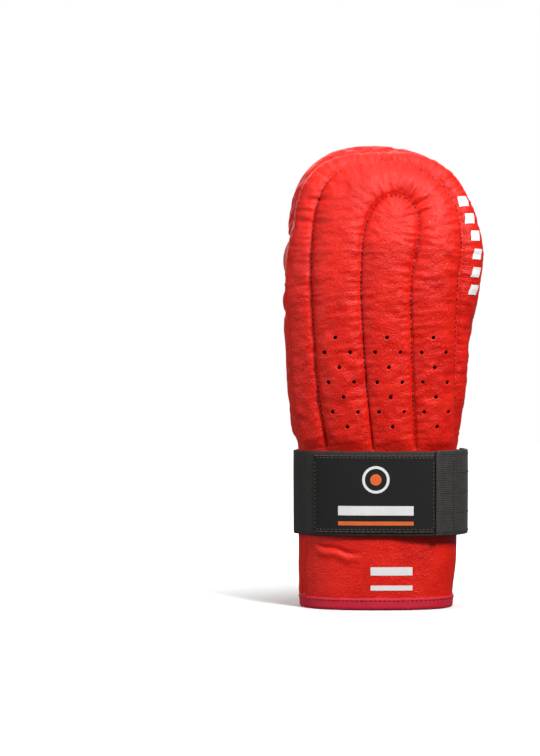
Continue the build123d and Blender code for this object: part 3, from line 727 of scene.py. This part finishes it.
def edge_path(step=1.6):
    """The cuff's edge in (round, up), with the direction into the leather: the slit's top, down, and round the hem."""
    r = FLARE_TOP
    c = SLIT_HALF + r
    rows = []
    for phi in np.radians(np.linspace(90, 0, 7)):
        rows.append((SLIT_HALF * math.cos(phi), SLIT_TOP + SLIT_HALF * math.sin(phi), math.cos(phi), math.sin(phi)))
    for z in np.arange(SLIT_TOP - step, FLARE_TOP + step / 2, -step):
        rows.append((SLIT_HALF, z, 1, 0))
    for phi in np.radians(np.linspace(0, 90, int(r * 1.57 / step))):
        rows.append((c - r * math.cos(phi), FLARE_TOP - r * math.sin(phi), math.cos(phi), math.sin(phi)))
    half = [*rows, *[(a, 0.0, 0, 1) for a in np.arange(c + step, ROUND / 2, step)]]
    mirror = [(ROUND - a, z, -u, w) for a, z, u, w in half[::-1]]
    return np.array(half + mirror[:-1])


edge = edge_path()
TAPE_WIDTH = 7.6
profile = [(1.0, 0, 0.1), (0.965, 0, 0.85), (0.8, 0, 0.95), (0.55, 0, 0.9), (0.3, 0, 0.95), (0.12, 0, 0.9),
           (0.03, 0.06, 0.7), (0.0, 0.25, 0.4), (0.0, 0.5, 0.0), (0.0, 0.75, -0.4), (0.03, 0.94, -0.7),
           (0.12, 1, -0.9), (0.5, 1, -0.9), (0.9, 1, -0.85), (1.0, 1, -0.1)]  # fmt: skip


def tape_point(width, inner, grow):
    a, z = edge[:, 0] + edge[:, 2] * width, edge[:, 1] + edge[:, 3] * width
    out = unroll(a, z, OUTER, grow if grow > 0 else 0.0)
    cav = unroll(a, z, CAVITY, grow if grow < 0 else 0.0)
    return out * (1 - inner) + cav * inner


rings = np.stack([tape_point(w * TAPE_WIDTH, m, g) for w, m, g in profile], 1)
ripple = np.array([noise.noise(Vector((s * 0.28, 3.0, 0))) for s in range(len(edge))])
n_cols = len(profile)
v = rings.reshape(-1, 3)
t = grid_tris(len(edge), n_cols)
last = (len(edge) - 1) * n_cols
close = []
for k in range(n_cols - 1):
    close += [(last + k, last + k + 1, k + 1), (last + k, k + 1, k)]
t = np.vstack([t, close])
n = normals(v, t)
if (n[:, :2] * v[:, :2])[: n_cols * len(edge) : n_cols].sum() < 0:
    t, n = t[:, ::-1], -n
v = v + n * (np.repeat(ripple, n_cols) * 0.22)[:, None]
v[:, 2] = np.maximum(v[:, 2], 0.0)
put("edge_tape", v, t, TAPE, "mitt", "binding", ["edge_binding"])

# ---- lining bag

levels = np.concatenate([np.arange(1.0, 235, 3.0), np.linspace(236, 258, 24)])
th = np.linspace(0, 360, 121)[:-1]
v = np.vstack([oval(th, np.full(120, z), CAVITY, 0.4) for z in levels])
t = grid_tris(len(levels), 120, wrap=True)
v = np.vstack([v, v[-120:].mean(0) + (0, 0, 0.3)])
last = len(v) - 121
t = np.vstack([t, [(last + k, last + (k + 1) % 120, len(v) - 1) for k in range(120)]])
v = v + normals(v, t) * (0.35 * bumps(v, 12.0, 6.0))[:, None]
v, t = clip(v, t, hem_and_slit(v))
passage = np.where(v[:, 1] > 0, np.hypot((v[:, 0] + 41.5) / 8, (v[:, 2] - 122) / 13) - 1, 1) * 8
v, t = clip(v, t, passage)
bag = put("lining_bag", *solid_sheet(v, t, LINING_SHEET), LINING, "mitt", "lining", ["back_lining", "palm_lining"])

# ---- thumb


def thumb_grid(grow, cols=96):
    z = np.linspace(THUMB[0, 0], THUMB[-1, 0], 74)
    cx, cy, hw, hd = at(THUMB, z)
    rows = [(h, x, y, a + grow, b + grow) for h, x, y, a, b in zip(z, cx, cy, hw, hd)]
    cap = np.radians(np.linspace(12, 84, 7))
    first, last = rows[0], rows[-1]

    def dome(row, way):
        z, x, y, a, b = row
        return [(z + way * (3 + grow) * math.sin(k), x, y, a * math.cos(k), b * math.cos(k)) for k in cap]

    low, high = dome(first, -1), dome(last, 1)
    rows = low[::-1] + rows + high
    th = np.linspace(0, 2 * math.pi, cols, endpoint=False)
    v = [np.stack([x + a * np.cos(th), y + b * np.sin(th), np.full(cols, h)], -1) for h, x, y, a, b in rows]
    v = np.vstack(v)
    t = grid_tris(len(rows), cols, wrap=True)
    caps = []
    for start, end, flip in ((0, low[-1], True), ((len(rows) - 1) * cols, high[-1], False)):
        tip_point = len(v)
        v = np.vstack([v, [(end[1], end[2], end[0])]])
        for k in range(cols):
            tri = (start + k, start + (k + 1) % cols, tip_point)
            caps.append(tri[::-1] if flip else tri)
    return v, np.vstack([t, caps])


def thumb_edge(v):
    """Which side of the thumb's edge seam a point is on: positive towards the palm side."""
    return (v[:, 1] - 37.5) - 0.22 * (v[:, 2] - 135)


def off_hand(v):
    left, right, back, palm = at(OUTER, v[:, 2])
    r = (np.abs((v[:, 0] - (left + right) / 2) / ((right - left) / 2)) ** 2.5 + np.abs(v[:, 1] / palm) ** 2.5) ** 0.4
    return (r - 0.99) * 30


def from_mouth(v):
    rel = v[:, :2] - THUMB_HINGE
    return rel[:, 0] * -MOUTH[1] + rel[:, 1] * MOUTH[0]


v, t = thumb_grid(0.0)
n = normals(v, t)
f = thumb_edge(v)
height = 0.5 * bumps(v, 16.0, 2.0) + 0.3 * bumps(v * (1, 1, 0.55), 5.0, 9.0)
height += 1.5 * np.exp(-((f / 0.9) ** 2)) - 0.5 * np.exp(-(((np.abs(f) - 2.4) / 1.3) ** 2))
near_root = np.exp(-np.clip(from_mouth(v), 0, 50) / 9)
height += near_root * 0.8 * bumps(v * (1.6, 1.6, 0.5), 6.0, 4.0)
thumb_v, thumb_t = v + n * height[:, None], t
thumb_v = thumb_v + billow(thumb_v, thumb_t, lambda p: (np.abs(thumb_edge(p)) < 2.2) | (off_hand(p) < 2), 0.8, 0.25)
thumb_v, thumb_t = clip(thumb_v, thumb_t, off_hand(thumb_v))
for name, side_of, nodes in (("thumb_palm_half", 1, ["thumb_outer_leather", "thumb_base_leather"]),
                             ("thumb_hand_half", -1, ["thumb_inner_leather"])):
    half_v, half_t = clip(thumb_v, thumb_t, side_of * thumb_edge(thumb_v))
    piece = put(name, half_v, half_t, RED, None, "red_leather", nodes)
    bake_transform(piece)
v, t = thumb_grid(-3.6, 64)
v, t = clip(v, t, from_mouth(v) - 9)
bag = put("thumb_lining_bag", *solid_sheet(v, t, LINING_SHEET), LINING, "thumb", "lining",
          ["thumb_padding", "thumb_lining", "thumb_base_lining"])

# ---- strap

STRAP_LOW, STRAP_HIGH = 44.5, 95.5


def cuff_oval(angle):
    c, s = np.cos(np.radians(angle)), np.sin(np.radians(angle))
    return np.stack([0.5 + 48 * np.sign(c) * np.abs(c) ** 0.8, 31 * np.sign(s) * np.abs(s) ** 0.8], -1)


def cuff_point(angle, distance):
    """x and y at this angle round the cuff and this far outside its leather."""
    ahead = cuff_oval(angle + 0.5) - cuff_oval(angle - 0.5)
    out = np.stack([ahead[..., 1], -ahead[..., 0]], -1)
    out /= np.linalg.norm(out, axis=-1, keepdims=True)
    return cuff_oval(angle) + out * np.asarray(distance)[..., None]


def even_angles(start, end, step):
    th = np.linspace(start, end, 2000)
    run = np.concatenate([[0], np.cumsum(np.linalg.norm(np.diff(cuff_point(th, 3.0 + 0 * th), axis=0), axis=1))])
    return np.interp(np.linspace(0, run[-1], int(run[-1] / step)), run, th)


def climb(angle):
    """Distance of the front band's inner face: it climbs onto the elastic and its loop tape."""
    return 1.2 + ease((angle - 268) / 36) * 3.05


def band(name, start, end, inside_at, thick, low, high, mat, body, slot, nodes, wave=0.25, crown=0.12):
    """A strip of webbing round the cuff with rounded edges and a little waviness."""
    th = even_angles(start, end, 1.0)
    # round the strip's section: share of the thickness, share of the height
    ring = [(0.0, 0.008), (0.5, 0.0), (0.9, 0.004), *[(1.0, k) for k in np.linspace(0.012, 0.988, 24)],
            (0.9, 0.996), (0.5, 1.0), (0.0, 0.992), *[(0.0, k) for k in np.linspace(0.9, 0.1, 9)]]
    rows = []
    for i, a in enumerate(th):
        base = float(inside_at(a)) + abs(noise.noise(Vector((a * 0.12, start, 1.0)))) * wave
        lo = low + wave * noise.noise(Vector((a * 0.1, 5.0, start)))
        hi = high + wave * noise.noise(Vector((a * 0.1, 9.0, start)))
        pinch = 0.25 if i in (0, len(th) - 1) else 0.0
        for d, k in ring:
            lift = crown * math.sin(math.pi * k) if d == 1.0 else 0.0
            x, y = cuff_point(np.array(a), np.array(base + thick * (d * (1 - 2 * pinch) + pinch) + lift))
            rows.append((x, y, lo + (hi - lo) * k))
    n = len(ring)
    v = np.array(rows)
    t = grid_tris(len(th), n, wrap=True)
    faces = [*t.tolist(), tuple(range(n)), tuple(range(len(v) - n, len(v)))[::-1]]
    mids = v[:, :2] - cuff_point(np.repeat(th, n), np.repeat([float(inside_at(a)) + thick / 2 for a in th], n))
    if (mids * normals(v, t)[:, :2]).sum() < 0:
        faces = [f[::-1] for f in faces]
    return put(name, v, faces, mat, body, slot, nodes)


band("elastic_strap", -52, 186.5, lambda a: 1.2, 1.6, STRAP_LOW, STRAP_HIGH, ELASTIC, "mitt", "elastic",
     ["elastic_band"])
band("loop_strip", -48, 62, lambda a: 2.85, 0.9, 47.5, 92.5, LOOP, "mitt", "loop_pile", ["loop_tape"])
front = band("front_strap", 180, 308.4, lambda a: climb(a) + ease((200 - a) / 14), 1.6, STRAP_LOW, STRAP_HIGH, ELASTIC,
             None, "elastic", ["front_band"])
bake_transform(front)
band("label_patch", 222, 304, lambda a: climb(a) + 1.68, 0.75, 47, 93, LABEL, "strap_front", "label", ["woven_label"],
     0.1, 0.05)
tab = band("pull_strap", 304.5, 379, lambda a: 5.35 if a > 309 else climb(a) + 1.7, 1.5, 44.7, 96, GREY_TAB, None,
           "grey_webbing", ["pull_tab"])
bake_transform(tab)
band("hook_strip", 313, 375, lambda a: 4.3, 1.0, 47.5, 92.5, HOOK, "strap_tab", "hook_pile", ["hook_tape"])

# ---- the skin, for laying stitches and prints on


def skin(names):
    verts, tris, base = [], [], 0
    for name in names:
        mesh = pieces[name].data
        co = np.empty(len(mesh.vertices) * 3)
        mesh.vertices.foreach_get("co", co)
        mesh.calc_loop_triangles()
        tri = np.empty(len(mesh.loop_triangles) * 3, int)
        mesh.loop_triangles.foreach_get("vertices", tri)
        verts.append(co.reshape(-1, 3) / MM)
        tris.append(tri.reshape(-1, 3) + base)
        base += len(mesh.vertices)
    return BVHTree.FromPolygons(np.vstack(verts).tolist(), np.vstack(tris).tolist())


hand_skin = skin(["back_panel", "fingertip_panel", "grip_roll", "palm_mesh_panel", "palm_panel", "gusset_panel",
                  "side_panel"])


hand_form = BVHTree.FromPolygons(full_v.tolist(), full_t.tolist())


def lay(line, side_y):
    """Points and normals on the skin under an (x, z) line, square to the hand's form. side_y: -1 back, 1 palm."""
    hits = []
    for x, z in np.asarray(line):
        place, out, _, _ = hand_form.ray_cast(Vector((x, 150 * side_y, z)), Vector((0, -side_y, 0)))
        if place is None:
            continue
        out = out if out.y * side_y > 0 else -out
        place, _, _, _ = hand_skin.ray_cast(place + out * 12, -out)
        if place is not None:
            hits.append((*place, *out))
    return np.array(hits)


def on_back(line):
    return lay(line, -1)


def on_palm(line):
    return lay(line, 1)


def stitches(name, rows, mat, body, slot, pitch, share, radius, sink=0.0):
    """Rows of thread stitches along points on a surface. share: how much of the pitch a stitch fills."""
    verts, faces = [], []
    # rings of a stitch: along it, up from the surface, width
    half = [(0.5, -1.2, 0.35), (0.42, -0.1, 0.8), (0.2, 0.35, 1)]
    rings = [(-along, up, r) for along, up, r in half] + half[::-1]
    for h in rows:
        run = np.concatenate([[0], np.cumsum(np.linalg.norm(np.diff(h[:, :3], axis=0), axis=1))])

        def along_row(s):
            return np.array([np.interp(s, run, column) for column in h.T])

        for k, s in enumerate(np.arange(pitch / 2, run[-1] - pitch / 3, pitch)):
            c = along_row(s)
            tan = (along_row(s + 0.6) - along_row(s - 0.6))[:3]
            tan /= max(np.linalg.norm(tan), 1e-6)
            nor = c[3:] - tan * c[3:].dot(tan)
            nor /= max(np.linalg.norm(nor), 1e-6)
            side_dir = np.cross(nor, tan)
            tan = tan + side_dir * 0.05 * math.sin(k * 2.4)
            base = len(verts)
            for along, up, r in rings:
                centre = c[:3] + tan * along * pitch * share + nor * (up * radius - sink)
                for q in range(6):
                    ang = q * math.pi / 3
                    verts.append(centre + (side_dir * math.cos(ang) + nor * math.sin(ang) * 0.8) * radius * r)
            for i in range(5):
                for q in range(6):
                    a, b = base + i * 6 + q, base + i * 6 + (q + 1) % 6
                    faces.append((a, b, b + 6, a + 6))
            faces.append(tuple(base + q for q in range(6))[::-1])
            faces.append(tuple(base + 30 + q for q in range(6)))
    return put(name, np.array(verts), faces, mat, body, slot)


def roll_line(height):
    xs = np.arange(-52.0, 57.0)
    return np.stack([xs, height + SLOPE * xs], -1)


def above_strap(line):
    return line[line[:, 1] > 97.5]


rows = [on_back(above_strap(OUTER_QUILT)), on_back(above_strap(INNER_QUILT))]
stitches("back_quilting", rows, THREAD, "mitt", "red_leather", 2.9, 0.7, 0.44)
# painted shade: a nearly unbroken cord of dark thread laid along the thumb side's fold edge stands for the shadow line
# of that fold
rows = [on_back(FOLD_EDGE[FOLD_EDGE[:, 1] > 97]), on_back(FOLD_EDGE[FOLD_EDGE[:, 1] < 43])]
stitches("fold_shade_cord", rows, THREAD, "mitt", "red_leather", 3.2, 0.95, 0.34, 0.1)
mesh_line = MESH_BORDER[(MESH_BORDER[:, 0] > -56) & (MESH_BORDER[:, 0] < 53)]
side_line = np.stack([np.full(40, SIDE_SEAM_X - 2.0), np.linspace(9, 43, 40)], -1)
gusset_line = smooth_line(GUSSET_BORDER[1:5], 1.0) + (0.6, -2.0)
rows = [roll_line(h) for h in (ROLL_TOP + 1.4, ROLL_TOP + 3.4, ROLL_SEAM - 0.6, ROLL_SEAM - 2.4)]
rows = [on_palm(line) for line in (*rows, mesh_line + (-0.5, -2.2), side_line, gusset_line)]
stitches("palm_topstitching", rows, THREAD, "mitt", "red_leather", 2.7, 0.72, 0.36, 0.02)


def tape_row(share):
    width = share * TAPE_WIDTH
    a, z = edge[:, 0] + edge[:, 2] * width, edge[:, 1] + edge[:, 3] * width
    p, q = unroll(a, z, OUTER, 0.95), unroll(a, z, OUTER, 2.0)
    n = (q - p) / np.linalg.norm(q - p, axis=1, keepdims=True)
    row = np.hstack([p, n])
    return row[row[:, 2] < 118]


stitches("edge_stitching", [tape_row(0.78)], RED_THREAD, "mitt", "binding", 2.8, 0.72, 0.34)


def strap_row(angles, distance, z):
    """Points with normals along the strap at these angles, distances and heights."""
    angles = np.asarray(angles, float)
    d = np.array([float(distance(a)) for a in angles])
    p, q = cuff_point(angles, d), cuff_point(angles, d + 1)
    z = np.broadcast_to(z, len(angles))
    return np.column_stack([p, z, q - p, 0 * z])


def upright_row(angle, distance, z0, z1):
    z = np.arange(z0, z1, 1.0)
    return strap_row(np.full(len(z), angle), lambda a: distance, z)


def label_top(angle):
    return climb(angle) + 2.5


def tab_top(angle):
    return 7.0


def elastic_top(angle):
    return 2.95


rows = [strap_row(even_angles(224, 302, 1.0), label_top, z) for z in (48.6, 91.4)]
rows += [upright_row(a, label_top(a), 48.6, 91.4) for a in (223.4, 302.6)]
stitches("label_stitching", rows, LABEL_THREAD, "strap_front", "label", 2.4, 0.66, 0.3)
rows = [strap_row(even_angles(222.5, 303.5, 1.0), label_top, z) for z in (47.3, 92.7)]
stitches("label_edging", rows, EDGE_THREAD, "strap_front", "label", 3.2, 0.94, 0.2)
rows = [strap_row(even_angles(311, 377, 1.0), tab_top, z) for z in (47.0, 58.5, 70.5, 82.5, 93.6)]
rows += [upright_row(a, tab_top(a), 47.5, 93) for a in (322, 376)]
stitches("tab_stitching", rows, GREY_THREAD, "strap_tab", "grey_webbing", 2.4, 0.66, 0.3)
stitches("strap_zigzag", [upright_row(188.5, 3.1, 46, 95)], BLACK_THREAD, "mitt", "elastic", 2.3, 0.45, 0.85)
rows = [strap_row(even_angles(-30, 86, 1.0), elastic_top, z) for z in (54, 70, 86)] + [upright_row(172, 2.95, 46, 94)]
stitches("elastic_stitching", rows, BLACK_THREAD, "mitt", "elastic", 2.6, 0.7, 0.25, 0.05)
# the thumb's row follows the points of its form just past the edge seam
h = np.column_stack([thumb_v, normals(thumb_v, thumb_t)])
ridge = h[(np.abs(thumb_edge(thumb_v) - 1.9) < 0.45) & (thumb_v[:, 0] > -32) & (thumb_v[:, 2] > 108)]
ridge = ridge[np.argsort(ridge[:, 2])]
rises = np.arange(110, 186, 1.0)
ridge = np.column_stack([np.interp(rises, ridge[:, 2], ridge[:, k]) for k in range(6)])
thumb_row = stitches("thumb_stitching", [ridge], THREAD, None, "red_leather", 2.6, 0.74, 0.28, 0.12)
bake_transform(thumb_row)

# ---- generic prints


def plate(name, cells, mat, body, slot, place, lift):
    """Flat printed shapes: each cell is a grid of (u, w) points laid by place(u, w, lift)."""
    verts, faces = [], []
    for grid in cells:
        rows, cols = grid.shape[:2]
        corners = np.add.outer(np.arange(rows - 1) * cols, np.arange(cols - 1)).reshape(-1, 1) + len(verts)
        faces += (corners + (0, 1, cols + 1, cols)).tolist()
        verts += [place(u, w, lift) for u, w in grid.reshape(-1, 2)]
    return put(name, np.array(verts), faces, mat, body, slot)


def bar(u0, u1, w0, w1, lean=0.0, step=1.5):
    """A rectangle, slanted by lean, as a grid."""
    u = np.linspace(0, 1, max(2, int(abs(u1 - u0) / step) + 1))
    w = np.linspace(0, 1, max(2, int(abs(w1 - w0) / step) + 1))
    uu, ww = np.meshgrid(u, w)
    return np.stack([u0 + (u1 - u0) * uu + lean * ww, w0 + (w1 - w0) * ww], -1)


def ring_print(r0, r1):
    """A ring round the label's middle, as a grid."""
    u, w = -2.5, 78.5
    a = np.radians(np.linspace(0, 360, 40))
    return np.stack([np.stack([u + r * np.cos(a), w + r * np.sin(a)], -1) for r in (r0, r1)], 0)


def lay_on_back(u, w, lift):
    hit = on_back([(u, w)])[0]
    return hit[:3] + hit[3:] * lift


def lay_on_label(u, w, lift):
    angle = np.interp(u, LABEL_X, LABEL_ANGLE)
    x, y = cuff_point(np.array(angle), np.array(label_top(angle) + lift))
    return np.array([x, y, w])


LABEL_ANGLE = np.linspace(218, 306, 200)
LABEL_X = np.array([cuff_point(np.array(a), np.array(label_top(a)))[0] for a in LABEL_ANGLE])
cuff_cells = [bar(-5.5, 19.5, 21.0, 26.0), bar(-5.5, 19.5, 12.0, 15.0)]
plate("cuff_print", cuff_cells, WHITE, "mitt", "red_leather", lay_on_back, 0.12)
white = [ring_print(6.6, 8.2), bar(-25, 20, 57.2, 62.8)]
plate("label_print_white", white, WHITE, "strap_front", "label", lay_on_label, 0.08)
orange = [ring_print(0.2, 3.4), bar(-25, 20, 51.2, 53.6)]
plate("label_print_orange", orange, ORANGE, "strap_front", "label", lay_on_label, 0.08)


def lay_on_rim(u, w, lift):
    """u is measured from the little finger's edge of the back, w is height."""
    hit = on_back([(at(OUTER, w)[1] - 7.5 + u, w)])[0]
    return hit[:3] + hit[3:] * lift


rim_cells = [bar(-2.2, 2.2, z, z + 6.0, 1.2, 1.0) for z in (190, 200.5, 211, 221.5, 232, 242)]
plate("rim_print", rim_cells, WHITE, "mitt", "red_leather", lay_on_rim, 0.3)

# ---- camera and studio

cam_data = bpy.data.cameras.new("camera")
cam_data.lens, cam_data.sensor_width = 100, 36
camera = bpy.data.objects.new("camera", cam_data)
camera.location = (-0.0658, -1.29, 0.1394)
camera.rotation_euler = (math.pi / 2, 0, 0)
bpy.context.scene.collection.objects.link(camera)
bpy.context.scene.camera = camera


def area(name, where, aim, size, power):
    data = bpy.data.lights.new(name, "AREA")
    data.shape, data.size, data.size_y, data.energy = "RECTANGLE", size[0], size[1], power
    light = bpy.data.objects.new(name, data)
    light.location = where
    light.rotation_euler = (Vector(aim) - Vector(where)).to_track_quat("-Z", "Y").to_euler()
    bpy.context.scene.collection.objects.link(light)


area("key", (0.6, -0.85, 1.1), (0, 0, 0.14), (0.3, 0.35), 23)
area("side", (-0.95, -0.5, 0.55), (0, 0, 0.15), (0.25, 1.0), 5)
area("top", (0.0, 0.1, 1.3), (0, 0, 0.15), (0.9, 0.6), 4)
area("rear", (-0.1, 1.3, 0.8), (0, 0, 0.15), (1.2, 1.0), 7)

world = bpy.data.worlds.new("studio")
world.use_nodes = True
nodes, links = world.node_tree.nodes, world.node_tree.links
seen = nodes.new("ShaderNodeBackground")
for background, strength in ((nodes["Background"], 0.13), (seen, 1.0)):
    background.inputs["Color"].default_value = (1, 1, 1, 1)
    background.inputs["Strength"].default_value = strength
# The camera sees white paper; everything else is lit by the weaker background.
which = nodes.new("ShaderNodeMixShader")
links.new(nodes.new("ShaderNodeLightPath").outputs["Is Camera Ray"], which.inputs["Fac"])
links.new(nodes["Background"].outputs[0], which.inputs[1])
links.new(seen.outputs[0], which.inputs[2])
links.new(which.outputs[0], nodes["World Output"].inputs["Surface"])
bpy.context.scene.world = world
bpy.context.scene.view_settings.view_transform = "Standard"

paper = Look("floor")
# Lit as a sweep of white paper: the floor gives off a little light of its own, less near the mitt.
far = paper.node("ShaderNodeVectorMath", {0: paper.place}, operation="LENGTH").outputs["Value"]
glow = paper.ramp(paper.math("DIVIDE", far, 900.0), (0.065, 0.0), (0.15, 0.4), (0.6, 0.9))
paper.surface(Base_Color=paper.ramp(paper.noise(0.002, 2), (0.3, 0.93), (0.7, 0.95)), Roughness=0.9,
              Specular_IOR_Level=0.1, Emission_Color=glow, Emission_Strength=1.0)
mesh = bpy.data.meshes.new("floor")
rim = [(3.2 * math.cos(a), 3.2 * math.sin(a), 0) for a in np.linspace(0, 2 * math.pi, 97)[:-1]]
mesh.from_pydata(rim, [], [tuple(range(96))])
mesh.materials.append(paper.material)
floor = bpy.data.objects.new("floor", mesh)
bpy.context.scene.collection.objects.link(floor)
floor.visible_diffuse = False
floor.visible_glossy = False
